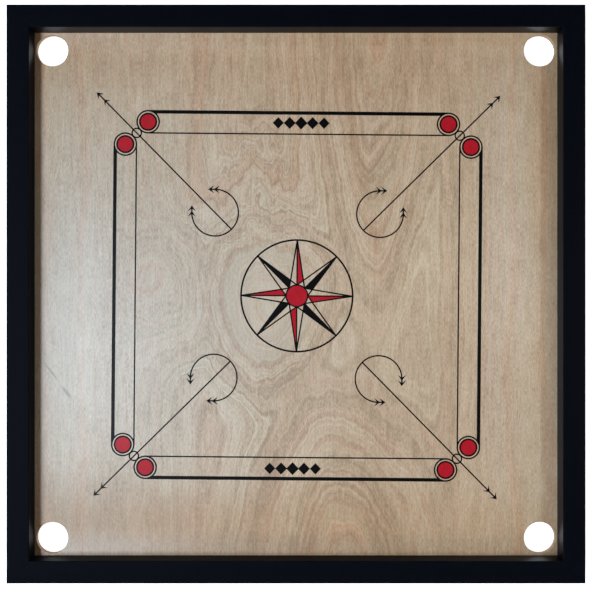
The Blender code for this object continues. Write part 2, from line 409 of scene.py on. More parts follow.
class Shader:
    """A material's node tree, with short calls for the nodes that the materials here use."""

    def __init__(self, name, **constants):
        self.material = bpy.data.materials.new(name)
        self.material.use_nodes = True
        self.tree = self.material.node_tree
        self.surface = self.tree.nodes["Principled BSDF"]
        for socket, value in constants.items():
            title = socket.replace("_", " ").title().replace("Ior", "IOR")
            self.surface.inputs[title].default_value = value
        self.place = self.add("ShaderNodeTexCoord").outputs["Object"]

    def add(self, kind, inputs=None, **settings):
        """A node with its settings made and its inputs set to values or joined to sockets."""
        node = self.tree.nodes.new(kind)
        for name, value in settings.items():
            setattr(node, name, value)
        for name, value in (inputs or {}).items():
            if isinstance(value, bpy.types.NodeSocket):
                self.tree.links.new(value, node.inputs[name])
            else:
                node.inputs[name].default_value = value
        return node

    def maths(self, operation, *values, clamp=False):
        """One step of arithmetic."""
        return self.add("ShaderNodeMath", dict(enumerate(values)), operation=operation,
                        use_clamp=clamp).outputs[0]

    def times(self, first, second):
        """One value times another."""
        return self.maths("MULTIPLY", first, second)

    def minus(self, first, second):
        """One value less another."""
        return self.maths("SUBTRACT", first, second)

    def scaled(self, value, factor, shift):
        """A value times a factor, plus a shift."""
        return self.maths("MULTIPLY_ADD", value, factor, shift)

    def vectors(self, operation, *values):
        """One step of arithmetic on vectors."""
        return self.add("ShaderNodeVectorMath", dict(enumerate(values)), operation=operation).outputs[0]

    def axes(self, place=None):
        """The place's X, Y and Z."""
        return self.add("ShaderNodeSeparateXYZ", {"Vector": place or self.place}).outputs

    def noise(self, size, offset=(0.0, 0.0, 0.0), place=None, detail=2.0, roughness=0.5, output="Fac"):
        """Fractal noise from 0 to 1, with features about this size along each axis."""
        scale = [1.0 / length for length in size]
        inputs = {"Vector": place or self.place, "Scale": scale, "Location": offset}
        mapped = self.add("ShaderNodeMapping", inputs, vector_type="POINT").outputs[0]
        inputs = {"Vector": mapped, "Scale": 1.0, "Detail": detail, "Roughness": roughness}
        return self.add("ShaderNodeTexNoise", inputs).outputs[output]

    def rings(self, level, detail=4.0, roughness=0.6):
        """Noise along one number: the tone of each growth ring."""
        inputs = {"W": level, "Scale": 1.0, "Detail": detail, "Roughness": roughness}
        return self.add("ShaderNodeTexNoise", inputs, noise_dimensions="1D").outputs["Fac"]

    def ramp(self, factor, stops):
        """A colour or a tone that follows a factor through (position, colour) stops."""
        node = self.add("ShaderNodeValToRGB", {"Fac": factor})
        elements = node.color_ramp.elements
        while len(elements) < len(stops):
            elements.new(1.0)
        for element, (position, colour) in zip(elements, stops):
            element.position = position
            element.color = (*colour, 1.0) if isinstance(colour, tuple) else (colour,) * 3 + (1.0,)
        return node.outputs["Color"]

    def mix(self, factor, first, second, blend="MIX"):
        """Two colours mixed."""
        node = self.add("ShaderNodeMix", {0: factor}, data_type="RGBA", blend_type=blend)
        for index, value in ((6, first), (7, second)):
            if isinstance(value, bpy.types.NodeSocket):
                self.tree.links.new(value, node.inputs[index])
            else:
                node.inputs[index].default_value = (*value, 1.0)
        return node.outputs[2]

    def tint(self, amount, colour, stain_and_painted_light):
        """A colour, multiplied by a tint colour as far as the amount says: a stain or streak of the
        wood, or painted shade or sheen.
        """
        return self.mix(amount, colour, self.mix(1.0, colour, stain_and_painted_light, "MULTIPLY"))

    def bump(self, height, strength, distance):
        """Feed a height to the surface's normal."""
        inputs = {"Height": height, "Strength": strength, "Distance": distance}
        normal = self.add("ShaderNodeBump", inputs).outputs["Normal"]
        self.tree.links.new(normal, self.surface.inputs["Normal"])

    def feed(self, socket, value):
        """Join a value to one of the surface's sockets."""
        self.tree.links.new(value, self.surface.inputs[socket])


# ---------------- materials

def away(s, x, y, centre, size):
    """How many growth layers lie between a place and the heart of a figure, stretched to a size."""
    along_x = s.maths("DIVIDE", s.minus(x, centre[0]), size[0])
    along_y = s.maths("DIVIDE", s.minus(y, centre[1]), size[1])
    squares = s.maths("ADD", s.maths("POWER", along_x, 2.0), s.maths("POWER", along_y, 2.0))
    return s.maths("SQRT", squares)


def near(s, x, y, centre, size, soft=0.35, lean=0.0):
    """A soft-edged patch: 1 inside an oval, 0 outside it; lean is its drift in X along Y."""
    if lean:
        x = s.scaled(s.minus(y, centre[1]), -lean, x)
    span = s.add("ShaderNodeMapRange", {
        "Value": away(s, x, y, centre, size), "From Min": 1.0 - soft, "From Max": 1.0 + soft,
        "To Min": 1.0, "To Max": 0.0}, interpolation_type="SMOOTHSTEP")
    return span.outputs[0]


def wandering(s, size, sway, seed):
    """A sideways push that wanders over the veneer: its size on the wood, and how far it pushes."""
    cloud = s.noise(size, (seed, 0, 0), detail=1.5, output="Color")
    return s.vectors("MULTIPLY", s.vectors("SUBTRACT", cloud, (0.5, 0.5, 0.5)), sway)


def veneer_figure(s, hearts, churned, seed):
    """Growth layers laid open by the knife: level lines round each heart, swayed by the grain."""
    x, y, _ = s.axes()
    sway = wandering(s, (0.10, 0.26, 1.0), (0.050, 0.110, 0.0), seed)
    ripple = wandering(s, (0.020, 0.042, 1.0), (0.0085, 0.022, 0.0), seed + 3)
    flutter = wandering(s, (0.007, 0.016, 1.0), (0.0026, 0.0070, 0.0), seed + 5)
    churn = s.add("ShaderNodeVectorMath", {0: ripple, "Scale": near(s, x, y, *churned, soft=0.6)},
                  operation="SCALE").outputs[0]
    place = s.place
    for push in (sway, ripple, flutter, churn, churn):
        place = s.vectors("ADD", place, push)
    u, v, _ = s.axes(place)
    level = None
    for heart, size in hearts:
        layers = away(s, u, v, heart, size)
        level = layers if level is None else s.maths("SMOOTH_MIN", level, layers, LAYER_BLEND)
    return level, u, v


def face_grain(s, level, lively, seed):
    """Tone of the wood from its growth layers, its fibre and its broad clouds: about 0.5."""
    bands = s.rings(s.times(level, 0.85), detail=5.0, roughness=0.62)
    bands = s.minus(bands, 0.5)
    lines = s.ramp(s.rings(s.times(level, 4.5), detail=1.0), [
        (0.33, 0.0), (0.42, 0.5), (0.57, 0.5), (0.66, 1.0)])
    streak = s.noise((0.0026, 0.050, 1.0), (seed, 1, 0), detail=3.0, roughness=0.65)
    fleck = s.noise((0.0013, 0.0055, 1.0), (seed, 4, 0), detail=2.0, roughness=0.6)
    mottle = s.noise((0.009, 0.026, 1.0), (seed, 6, 0), detail=2.0, roughness=0.6)
    cloud = s.noise((0.07, 0.20, 1.0), (seed, 9, 0), detail=2.0)
    tone = s.scaled(bands, s.scaled(lively, 0.95, 0.60), 0.5)
    lines = s.minus(lines, 0.5)
    tone = s.scaled(lines, s.scaled(lively, 0.34, 0.05), tone)
    for part, weight in ((streak, 0.85), (fleck, 1.35), (mottle, 0.55), (cloud, 0.55)):
        tone = s.scaled(s.minus(part, 0.5), weight, tone)
    return tone, streak


def vessel_dashes(s, seed):
    """The wood's open vessels: short dark dashes along the grain, some places thick with them."""
    fine = s.noise((0.00055, 0.0085, 1.0), (seed, 5, 0), detail=2.0, roughness=0.8)
    crowd = s.noise((0.020, 0.060, 1.0), (seed, 2, 0), detail=2.0)
    level = s.scaled(s.minus(crowd, 0.5), -0.20, fine)
    return s.ramp(level, [(0.34, 1.0), (0.44, 0.0)])


def scratches(s, angle, width, length, limit):
    """Rare straight scratches, all lying about one way."""
    turned_place = s.add("ShaderNodeVectorRotate", {"Vector": s.place, "Angle": math.radians(angle)},
                         rotation_type="Z_AXIS").outputs[0]
    line = s.noise((width, length, 1.0), (angle, 0, 0), turned_place, detail=0.0)
    crowd = s.noise((0.05, 0.05, 1.0), (angle, 3, 0), detail=1.0)
    lines = s.ramp(line, [(limit, 0.0), (limit + 0.05, 1.0)])
    return s.times(lines, s.ramp(crowd, [(0.48, 0.0), (0.62, 1.0)]))


def face_veneer():
    """The playing face: pale rotary-cut veneer under clear satin lacquer, printed over."""
    s = Shader("face_veneer", specular_ior_level=0.3,
               coat_weight=1.0, coat_roughness=0.43, coat_ior=1.5)
    x, y, _ = s.axes()
    level, u, v = veneer_figure(s, FACE_HEARTS, FACE_CHURN, 0.0)
    calm = s.scaled(near(s, x, y, *FACE_QUIET, soft=0.6), -0.8, 1.0)
    lively = s.times(near(s, x, y, *FACE_LIVELY, soft=0.55), calm)
    tone, streak = face_grain(s, level, lively, 0.0)
    colour = s.ramp(tone, FACE_TONES)
    depth = s.maths("DIVIDE", level, 10.0)
    here = near(s, x, y, *ISLAND, soft=0.05)
    island = s.ramp(depth, [(ISLAND_EDGE - 0.012, 1.0), (ISLAND_EDGE, 0.0)])
    shore = s.ramp(depth, [(ISLAND_EDGE - 0.02, 0.0), (ISLAND_EDGE, 1.0), (ISLAND_EDGE + 0.06, 0.0)])
    for shape, amount, paint in ((island, 0.45, ISLAND_COLOUR), (shore, 0.35, SHORE_COLOUR)):
        colour = s.mix(s.times(s.times(shape, here), amount), colour, paint)
    hue = s.ramp(s.rings(s.scaled(level, 0.55, 17.0), detail=3.0), HUES)
    colour = s.mix(1.0, colour, hue, "MULTIPLY")
    for centre, size, soft, lean, amount, stain_and_painted_light in FACE_STREAKS:
        patch = s.times(near(s, u, v, centre, size, soft, lean), amount)
        colour = s.tint(patch, colour, stain_and_painted_light)
    # stains, plus painted shade along the rails and a painted cool sheen on the left
    for centre, size, soft, amount, stain_and_painted_light in FACE_STAINS_AND_PAINTED_LIGHT:
        patch = s.times(near(s, x, y, centre, size, soft), amount)
        colour = s.tint(patch, colour, stain_and_painted_light)
    dashes = vessel_dashes(s, 0.0)
    colour = s.mix(s.times(dashes, 0.28), colour, VESSEL_COLOUR)
    some, others = scratches(s, 14, 0.0007, 0.060, 0.66), scratches(s, -62, 0.0007, 0.050, 0.70)
    worn = s.maths("MAXIMUM", some, others)
    colour = s.mix(s.times(worn, 0.30), colour, SCRATCH_COLOUR)
    first, second = [near(s, x, y, centre, size, 0.5, lean) for centre, size, lean in SCUFFS]
    scuff = s.maths("MAXIMUM", first, second)
    colour = s.mix(s.times(scuff, 0.65), colour, SCUFF_COLOUR)
    s.feed("Base Color", colour)
    s.feed("Roughness", s.scaled(streak, 0.12, 0.52))
    relief = s.scaled(dashes, -0.8, streak)
    s.bump(s.scaled(s.maths("ADD", worn, scuff), -0.6, relief), 0.10, 0.0004)
    return s.material


def back_veneer():
    """The panel's underside: the same timber, darker, sanded and bare."""
    s = Shader("back_veneer", specular_ior_level=0.3)
    level, _, _ = veneer_figure(s, BACK_HEARTS, BACK_CHURN, 4.0)
    tone, streak = face_grain(s, level, 0.8, 4.0)
    dashes = vessel_dashes(s, 4.0)
    bare = s.ramp(tone, BACK_TONES)
    s.feed("Base Color", s.mix(s.times(dashes, 0.4), bare, BACK_VESSEL_COLOUR))
    s.feed("Roughness", s.scaled(streak, 0.2, 0.60))
    s.bump(s.scaled(dashes, -0.8, streak), 0.3, 0.0004)
    return s.material


def ply_edge(name, light, dark, turns):
    """The cut edge of a ply in the wall of a pocket."""
    s = Shader(name, specular_ior_level=0.2)
    fibre = s.noise((0.0009, 0.0009, 0.004), detail=3.0, roughness=0.6)
    band = s.noise((0.03, 0.03, 0.0006), (turns, 0, 0), detail=1.0)
    tone = s.scaled(s.minus(band, 0.5), 0.6, fibre)
    s.feed("Base Color", s.ramp(tone, [(0.3, dark), (0.7, light)]))
    s.feed("Roughness", s.scaled(fibre, 0.2, 0.6))
    s.bump(fibre, 0.4, 0.0004)
    return s.material


def edge_nearness(s, across, height, reach):
    """1 on a rail's edge at this distance from the middle and this height, 0 at reach from it."""
    x, y, z = s.axes()
    out = s.maths("MAXIMUM", s.maths("ABSOLUTE", x), s.maths("ABSOLUTE", y))
    d_out = s.minus(out, across)
    d_up = s.minus(z, height)
    square = s.maths("ADD", s.maths("POWER", d_out, 2.0), s.maths("POWER", d_up, 2.0))
    return s.maths("SUBTRACT", 1.0, s.maths("DIVIDE", s.maths("SQRT", square), reach), clamp=True)


def black_lacquer():
    """Blue-black lacquer on the rails: glossy sides, duller towards the front left, matt tops."""
    s = Shader("black_lacquer", specular_ior_level=0.03, coat_roughness=0.36, coat_ior=1.5)
    along = s.noise((0.004, 0.004, 0.004), detail=3.0)
    orange_peel = s.noise((0.0022, 0.0022, 0.0022), detail=2.0)
    speck = s.noise((0.0007, 0.0007, 0.0007), detail=2.0)
    outer = edge_nearness(s, HALF_OUTER, RAIL_TOP, 0.0022)
    inner = edge_nearness(s, HALF_PLAY, RAIL_TOP, 0.0018)
    edge = s.maths("MAXIMUM", outer, inner)
    patch = s.ramp(s.noise((0.03, 0.03, 0.03), detail=2.0), [(0.5, 0.0), (0.7, 1.0)])
    flakes = s.ramp(speck, [(0.45, 0.0), (0.65, 1.0)])
    rub = s.times(s.times(edge, patch), flakes)
    base = s.ramp(along, [(0.3, (0.0011, 0.0016, 0.0035)), (0.7, (0.0018, 0.0025, 0.0050))])
    s.feed("Base Color", s.mix(s.times(rub, 0.5), base, (0.035, 0.026, 0.020)))
    x, y, z = s.axes()
    on_top = s.ramp(s.maths("DIVIDE", z, RAIL_TOP), [(0.965, 0.0), (0.995, 1.0)])
    away_from_front_left = s.maths("ADD", s.maths("ADD", x, y), 0.5)
    gloss = s.ramp(away_from_front_left, [(0.30, 0.12), (0.60, 0.38)])
    rough = s.scaled(on_top, 0.10, s.scaled(along, 0.12, 0.42))
    s.feed("Roughness", s.scaled(rub, 0.25, rough))
    s.feed("Coat Weight", s.times(s.minus(1.0, on_top), gloss))
    s.bump(orange_peel, 0.05, 0.0006)
    return s.material


def batten_timber(name, along_x, seed):
    """Planed pale softwood with straight grain along the batten."""
    s = Shader(name, specular_ior_level=0.25)
    long, short = 0.30, 0.009
    size = (long, short, short) if along_x else (short, long, short)
    rings = s.noise(size, (seed, seed, 0), detail=3.0, roughness=0.55)
    fine_size = (0.03, 0.0007, 0.0007) if along_x else (0.0007, 0.03, 0.0007)
    fine = s.noise(fine_size, (seed, 0, 0), detail=2.0)
    plane_size = (0.0035, 1.0, 1.0) if along_x else (1.0, 0.0035, 1.0)
    planer = s.noise(plane_size, detail=0.0)
    bands = s.rings(s.times(rings, 9.0), detail=2.0)
    tone = s.scaled(s.minus(fine, 0.5), 0.35, bands)
    s.feed("Base Color", s.ramp(tone, [(0.25, (0.40, 0.25, 0.12)), (0.5, (0.55, 0.38, 0.21)),
                                       (0.8, (0.64, 0.48, 0.30))]))
    s.feed("Roughness", s.scaled(fine, 0.2, 0.55))
    s.bump(s.scaled(planer, 0.5, fine), 0.18, 0.0004)
    return s.material


def blackened_steel():
    """Black phosphate on a screw, worn to grey on the high spots."""
    s = Shader("blackened_steel", metallic=0.9)
    grain = s.noise((0.0005, 0.0005, 0.0005), detail=3.0)
    smear = s.noise((0.004, 0.004, 0.004), detail=2.0)
    worn = s.ramp(s.scaled(grain, 0.4, smear), [(0.68, 0.0), (0.85, 1.0)])
    s.feed("Base Color", s.mix(worn, (0.030, 0.030, 0.034), (0.13, 0.13, 0.135)))
    s.feed("Roughness", s.scaled(grain, 0.25, 0.32))
    s.bump(grain, 0.15, 0.0003)
    return s.material


def printed_ink(name, light, dark, gloss, gloss_rough):
    """Screen-printed ink under the face's clear lacquer, with the weave of the screen in it."""
    s = Shader(name, specular_ior_level=0.04,
               coat_weight=gloss, coat_roughness=gloss_rough, coat_ior=1.5)
    cloud = s.noise((0.009, 0.020, 1.0), detail=3.0, roughness=0.6)
    fibre = s.noise((0.0008, 0.012, 1.0), detail=2.0)
    tone = s.scaled(s.minus(fibre, 0.5), 0.6, cloud)
    s.feed("Base Color", s.ramp(tone, [(0.25, dark), (0.75, light)]))
    s.feed("Roughness", s.scaled(fibre, 0.12, 0.38))
    s.bump(fibre, 0.08, 0.0004)
    return s.material


def studio_white():
    """Backdrop paper that stays white in the shade."""
    s = Shader("studio_white", roughness=0.9, specular_ior_level=0.1)
    s.surface.inputs["Base Color"].default_value = (0.80, 0.80, 0.80, 1.0)
    s.surface.inputs["Emission Color"].default_value = (1.0, 1.0, 1.0, 1.0)
    x, y, _ = s.axes()
    by_board = near(s, x, y, (0.0, 0.0), (GLOW_REACH, GLOW_REACH), soft=0.3)
    s.feed("Emission Strength", s.scaled(by_board, GLOW[1], GLOW[0]))
    return s.material


def plain_glow():
    """An even white for the part of the backdrop that no lamp reaches."""
    s = Shader("plain_glow", roughness=1.0)
    s.surface.inputs["Emission Color"].default_value = (1.0, 1.0, 1.0, 1.0)
    s.surface.inputs["Emission Strength"].default_value = 1.2
    return s.material


# ---------------- the panel

def pocketed_sheet(levels):
    """A square sheet with four pockets; each level is (height, pocket radius, half side)."""
    bm = bmesh.new()
    stacks = []
    for height, radius, half in levels:
        square = [(-half, -half), (half, -half), (half, half), (-half, half)]
        outlines = [square]
        outlines += [arc(centre, radius, 0, 360, POCKET_SIDES)[:-1] for centre in POCKETS]
        stacks.append([[bm.verts.new((x, y, height)) for x, y in outline] for outline in outlines])
    for lower, upper in zip(stacks, stacks[1:]):
        for low, high in zip(lower, upper):
            stitch(bm, [low, high])
    for stack in (stacks[0], stacks[-1]):
        edges = [bm.edges.get((loop[i], loop[i - 1])) for loop in stack for i in range(len(loop))]
        bmesh.ops.triangle_fill(bm, use_beauty=True, use_dissolve=False, edges=edges)
    return bm


def build_panel():
    """The playing panel as its five plies, the outer two with a face grain."""
    face, back = face_veneer(), back_veneer()
    crossband = ply_edge("crossband", (0.34, 0.22, 0.13), (0.20, 0.12, 0.065), 0)
    core = ply_edge("core_ply", (0.50, 0.38, 0.25), (0.36, 0.25, 0.15), 2)
    materials = [face, crossband, core, crossband, back]
    top = PANEL_HIGH.z
    half = PANEL_HIGH.x
    for (name, thickness, set_back), material in zip(PLIES, materials):
        radius = POCKET_RADIUS + set_back
        levels = [(top - thickness, radius, half)]
        if name == "panel_face_veneer":
            centre = (radius + POCKET_ARRIS, top - POCKET_ARRIS)
            for out, height in arc(centre, POCKET_ARRIS, 180, 90, POCKET_ARRIS_STEPS):
                levels.append((height, out, half))
        else:
            levels.append((top, radius, half))
        ply = finish_piece(name, pocketed_sheet(levels), material, "lacquered_ply")
        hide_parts("playing_panel")
        top -= thickness


# ---------------- the print

def turned_about(point, quarter):
    """A point of the print, turned by quarters of a circle about the middle."""
    x, y = point
    for _ in range(quarter % 4):
        x, y = -y, x
    return x, y


def place_print(name, bm, ink):
    """Turn and shift marks from the print's own frame to the face, and finish them in one ink."""
    bm.transform(Matrix.Translation((*PRINT_SHIFT, 0)) @ Matrix.Rotation(PRINT_TURN, 4, "Z"))
    finish_piece(name, bm, *ink)


def base_centres(quarter):
    """The two base circles at the ends of one side's base lines."""
    return [turned_about((end * BASE_NEAR, BASE_FAR), quarter) for end in (-1, 1)]


def print_bases(black, red):
    """Base lines, base circles with their red discs, and the corner rings between them."""
    lines, rings, discs = bmesh.new(), bmesh.new(), bmesh.new()
    outer = BASE_FAR + BASE_RING[1]
    inner = BASE_FAR - BASE_RING[1]
    for quarter in range(4):
        for level, width in ((outer - THICK_LINE / 2, THICK_LINE), (inner + THIN_LINE / 2, THIN_LINE)):
            add_channel_line(lines, quarter, level, width, BLACK_HEIGHT)
        for centre in base_centres(quarter):
            add_ring(rings, centre, BASE_RING, BLACK_HEIGHT + HEIGHT_STEP)
            add_ring(rings, centre, (BASE_DISC - DISC_OUTLINE, BASE_DISC), BLACK_HEIGHT + HEIGHT_STEP)
            add_disc(discs, centre, BASE_DISC - DISC_OUTLINE / 2, RED_HEIGHT)
        corner = turned_about((CORNER_RING_AT, CORNER_RING_AT), quarter)
        add_ring(rings, corner, CORNER_RING, BLACK_HEIGHT + 2 * HEIGHT_STEP)
    place_print("ink_base_lines", lines, black)
    place_print("ink_base_rings", rings, black)
    place_print("ink_base_discs", discs, red)


def print_arrows(black):
    """The four corner arrows, each with an arc round its inner end."""
    shafts, heads, arcs = bmesh.new(), bmesh.new(), bmesh.new()
    for quarter in range(4):
        start = turned_about((ARROW_START, ARROW_START), quarter)
        tip = Vector(turned_about((ARROW_TIP, ARROW_TIP), quarter))
        out = tip.normalized()
        add_bar(shafts, start, tip - out * HEAD_NOTCH, ARROW_WIDTH, BLACK_HEIGHT + 3 * HEIGHT_STEP)
        for step in range(2):
            add_arrowhead(heads, tip - out * step * HEAD_SPACING, out, BLACK_HEIGHT + 4 * HEIGHT_STEP)
        centre = Vector(turned_about((ARC_CENTRE, ARC_CENTRE), quarter))
        radii = (ARC_RADIUS - ARROW_WIDTH / 2, ARC_RADIUS + ARROW_WIDTH / 2)
        add_ring(arcs, centre, radii, BLACK_HEIGHT, 90 * quarter + 90, 90 * quarter + 360)
        for end, along in (((0, 1), (1, 0)), ((1, 0), (0, 1))):
            end = Vector(turned_about(end, quarter))
            along = Vector(turned_about(along, quarter))
            at = centre + end * ARC_RADIUS
            reach = ARC_HEAD_FIRST + ARC_HEAD_SPACING
            add_bar(arcs, at, at + along * (reach - HEAD_NOTCH), ARROW_WIDTH, BLACK_HEIGHT)
            for step in range(2):
                point = at + along * (ARC_HEAD_FIRST + step * ARC_HEAD_SPACING)
                add_arrowhead(heads, point, along, BLACK_HEIGHT + (4 + step) * HEIGHT_STEP)
    place_print("ink_arrow_shafts", shafts, black)
    place_print("ink_arrow_heads", heads, black)
    place_print("ink_arrow_arcs", arcs, black)


def polar(radius, angle):
    """A point by its distance and angle from the middle."""
    return Vector((radius * math.cos(angle), radius * math.sin(angle)))


def side_turn(radius):
    """How far round from an arm's axis its side meets a circle about the middle."""
    return math.asin(STAR_TIP * math.sin(STAR_HALF_ANGLE) / radius) - STAR_HALF_ANGLE


def rim(radius, start, end):
    """Points along a circle about the middle, from one angle to another."""
    return [polar(radius, start + (end - start) * step / RIM_STEPS) for step in range(RIM_STEPS + 1)]


def print_star(black, red):
    """The centre circle with its eight-pointed star, one half of every arm filled."""
    lines, fill, red_fill = bmesh.new(), bmesh.new(), bmesh.new()
    add_ring(lines, (0, 0), CENTRE_RING, BLACK_HEIGHT + 2 * HEIGHT_STEP)
    add_ring(lines, (0, 0), (STAR_DISC - STAR_LINE, STAR_DISC), BLACK_HEIGHT + 3 * HEIGHT_STEP)
    under = STAR_DISC - STAR_LINE / 2
    spread = side_turn(under)
    between = STAR_TIP * math.sin(STAR_HALF_ANGLE) / math.sin(STAR_HALF_ANGLE + math.pi / 8)
    for arm in range(8):
        angle = math.pi / 2 - arm * math.pi / 4
        tip = polar(STAR_TIP, angle)
        for turn, lift in ((-spread, HEIGHT_STEP), (0, 0), (spread, HEIGHT_STEP)):
            add_bar(lines, tip, polar(under, angle + turn), STAR_LINE, BLACK_HEIGHT + lift)
        notch = polar(between, angle - math.pi / 8)
        outline = [tip, notch] + rim(under, angle - math.pi / 4 + spread, angle)
        if arm % 2:
            add_slab(fill, outline, BLACK_HEIGHT - HEIGHT_STEP)
        else:
            add_slab(red_fill, outline, RED_HEIGHT)
    add_disc(red_fill, (0, 0), STAR_DISC - STAR_LINE / 2, RED_HEIGHT + HEIGHT_STEP)
    place_print("ink_star_lines", lines, black)
    place_print("ink_star_dark_halves", fill, black)
    place_print("ink_star_red_halves", red_fill, red)


def print_ornaments(black):
    """A row of lozenges in the middle of the back and front channels."""
    bm = bmesh.new()
    for side in (-1, 1):
        for index in range(LOZENGES):
            place = index - (LOZENGES - 1) / 2
            size = 1.0 - LOZENGE_SHRINK * abs(place)
            centre = Vector((place * LOZENGE_SPACING + side * ORNAMENT_DRIFT, side * BASE_FAR))
            wide, tall = LOZENGE_HALF_WIDTH * size, LOZENGE_HALF_HEIGHT * size
            corners = [(wide, 0), (0, tall), (-wide, 0), (0, -tall)]
            add_slab(bm, [centre + Vector(corner) for corner in corners], BLACK_HEIGHT)
    place_print("ink_channel_ornaments", bm, black)


def build_print():
    """Every printed mark, as thin layers of black and red ink."""
    black, red = [(printed_ink(slot, *look), slot) for slot, look in INKS.items()]
    print_bases(black, red)
    print_arrows(black)
    print_star(black, red)
    print_ornaments(black)


# ---------------- the screws

def screw_place(node):
    """A screw's head centre, driving direction, length and head diameter, from its CAD solid."""
    low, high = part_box(node)
    span = high - low
    axis = max(range(3), key=lambda index: span[index])
    middle = (low + high) / 2
    direction = Vector((0, 0, 0))
    direction[axis] = 1 if axis == 2 or middle[axis] < 0 else -1
    head = middle - direction * span[axis] / 2
    return head, direction, span[axis], min(span)


def screw_matrix(head, direction):
    """What brings a screw, drawn at the origin pointing down, to its place."""
    return Matrix.Translation(head) @ direction.to_track_quat("-Z", "Y").to_matrix().to_4x4()


def screw_hole(node):
    """The countersunk hole in which a screw sits, as a bmesh in the board's frame."""
    head, direction, length, diameter = screw_place(node)
    shank = diameter / 4 + GAP
    wide = diameter / 2 + GAP
    rim = -HOLE_RIM
    bm = bmesh.new()
    profile = [(0, RUNOUT), (wide, RUNOUT), (wide, rim), (shank, rim - (wide - shank))]
    profile += [(shank, -length - GAP), (0, -length - GAP)]
    turned(bm, profile, HOLE_SIDES)
    bm.transform(screw_matrix(head, direction))
    return bm


def holes_in(low, high):
    """The holes of all the screws whose boxes meet this box."""
    holes = []
    for node in SCREWS:
        screw_low, screw_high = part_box(node)
        if all(screw_low[i] < high[i] and screw_high[i] > low[i] for i in range(3)):
            holes.append(screw_hole(node))
    return holes


def screw_bmesh(length, diameter):
    """A countersunk wood screw: rimmed head, cone, plain neck, cut thread and a gimlet point."""
    radius = diameter / 2
    root, crest = diameter * THREAD_ROOT, diameter * THREAD_CREST
    cone_foot = -HEAD_RIM - (radius - crest)
    thread_top = cone_foot - NECK * length
    drop = diameter * THREAD_PITCH / ROWS_PER_TURN
    bm = bmesh.new()
    profile = [(0, 0), (radius - 0.00025, 0), (radius - 0.0001, -0.00004), (radius, -0.00015)]
    profile += [(radius, -HEAD_RIM), (crest, cone_foot), (crest, thread_top + 0.0006)]
    loops = [hoop(bm, *pair, SCREW_SIDES) for pair in profile]
    for row in range(int((length + thread_top) / drop)):
        height = thread_top - row * drop
        taper = min(1.0, max(0.03, (length + height) / POINT_LENGTH))
        loop = []
        for index in range(SCREW_SIDES):
            phase = (index / SCREW_SIDES + row / ROWS_PER_TURN) % 1.0
            ridge = max(0.0, 1 - abs(phase - 0.5) / RIDGE_HALF_WIDTH)
            reach = (root + (crest - root) * ridge) * taper
            loop.append(bm.verts.new((*polar(reach, 2 * math.pi * index / SCREW_SIDES), height)))
        loops.append(loop)
    loops.append(hoop(bm, 0, -length, SCREW_SIDES))
    stitch(bm, loops)
    return bm


def recess_bmeshes(diameter):
    """The two crossed, tapering slots of a screw's drive recess."""
    span, depth, wide = [diameter * share for share in RECESS]
    levels = [(0.0005, span * 1.1, wide * 1.1), (-depth, span * 0.35, wide * 0.7)]
    shapes = []
    for along_x in (True, False):
        rings = []
        for height, reach, half in levels:
            x, y = (reach, half) if along_x else (half, reach)
            rings.append([(-x, -y, height), (x, -y, height), (x, y, height), (-x, y, height)])
        shapes.append(bmesh.new())
        loft(shapes[-1], rings)
    return shapes


def build_screws(steel):
    """Every screw in its CAD solid's place; screws of one size share a mesh."""
    meshes = {}
    for node in SCREWS:
        head, direction, length, diameter = screw_place(node)
        kind = (round(length, 4), round(diameter, 4))
        if kind not in meshes:
            blank = finish_piece("screw_blank", screw_bmesh(*kind), steel, "blackened_steel")
            cut_out(blank, recess_bmeshes(diameter))
            meshes[kind] = blank.data
            bpy.data.objects.remove(blank, do_unlink=True)
        screw = add_object("v_" + node, meshes[kind])
        screw.matrix_world = screw_matrix(head, direction)
        dress(screw, steel)
        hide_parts(node)


# ---------------- the rails and battens

def rail_section(inset):
    """A rail's outline, as (distance from the inner wall, height), drawn in by an inset all round."""
    low, right, high = inset, RAIL_WIDTH - inset, RAIL_TOP - inset
    top, inner, foot = TOP_ROUND - inset, INNER_ROUND - inset, FOOT_ROUND - inset
    wall, shoulder = REBATE + inset, FACE_Z + GAP + inset
    outline = arc((wall + foot, low + foot), foot, 180, 270, 4)
    outline += arc((right - foot, low + foot), foot, 270, 360, 4)
    outline += arc((right - top, high - top), top, 0, 90, 10)
    outline += arc((low + inner, high - inner), inner, 90, 180, 8)
    outline += [(low, shoulder), (wall, shoulder)]
    return outline


def build_rails(lacquer):
    """Four mitred rails with fine round-overs, a small arris at each mitre and countersunk holes."""
    reach = HALF_PLAY - MITRE_GAP
    stations = []
    for end, insets in ((-1, (MITRE_ARRIS, 0.0)), (1, (0.0, MITRE_ARRIS))):
        for inset in insets:
            back = MITRE_ARRIS - inset
            stations.append([(end * (reach + across - back), HALF_PLAY + across, height)
                             for across, height in rail_section(inset)])
    for name, side in SIDES.items():
        bm = bmesh.new()
        loft(bm, stations)
        angle = math.atan2(side[1], side[0]) - math.pi / 2
        bm.transform(Matrix.Rotation(angle, 4, "Z"))
        rail = finish_piece("v_rail_" + name, bm, lacquer, "black_lacquer")
        cut_out(rail, holes_in(*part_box("rail_" + name)))
        dress(rail, lacquer)
        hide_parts("rail_" + name)


def runs_along_x(name):
    """Whether a batten lies along X: the back and front ones do."""
    return SIDES[name][0] == 0


def batten_bmesh(low, high, along_x):
    """A batten between the corners of its box, with eased edges along its length."""
    size, middle = high - low, (low + high) / 2
    length, width = (size.x, size.y) if along_x else (size.y, size.x)
    out, up, ease = width / 2 - BATTEN_EASE, size.z - BATTEN_EASE, BATTEN_EASE
    section = []
    for quarter, centre in enumerate(((out, up), (-out, up), (-out, ease), (out, ease))):
        section += arc(centre, ease, 90 * quarter, 90 * quarter + 90, 5)
    rings = []
    for along in (-length / 2, length / 2):
        if along_x:
            rings.append([(middle.x + along, middle.y + u, low.z + v) for u, v in section])
        else:
            rings.append([(middle.x + u, middle.y + along, low.z + v) for u, v in section])
    bm = bmesh.new()
    loft(bm, rings)
    return bm


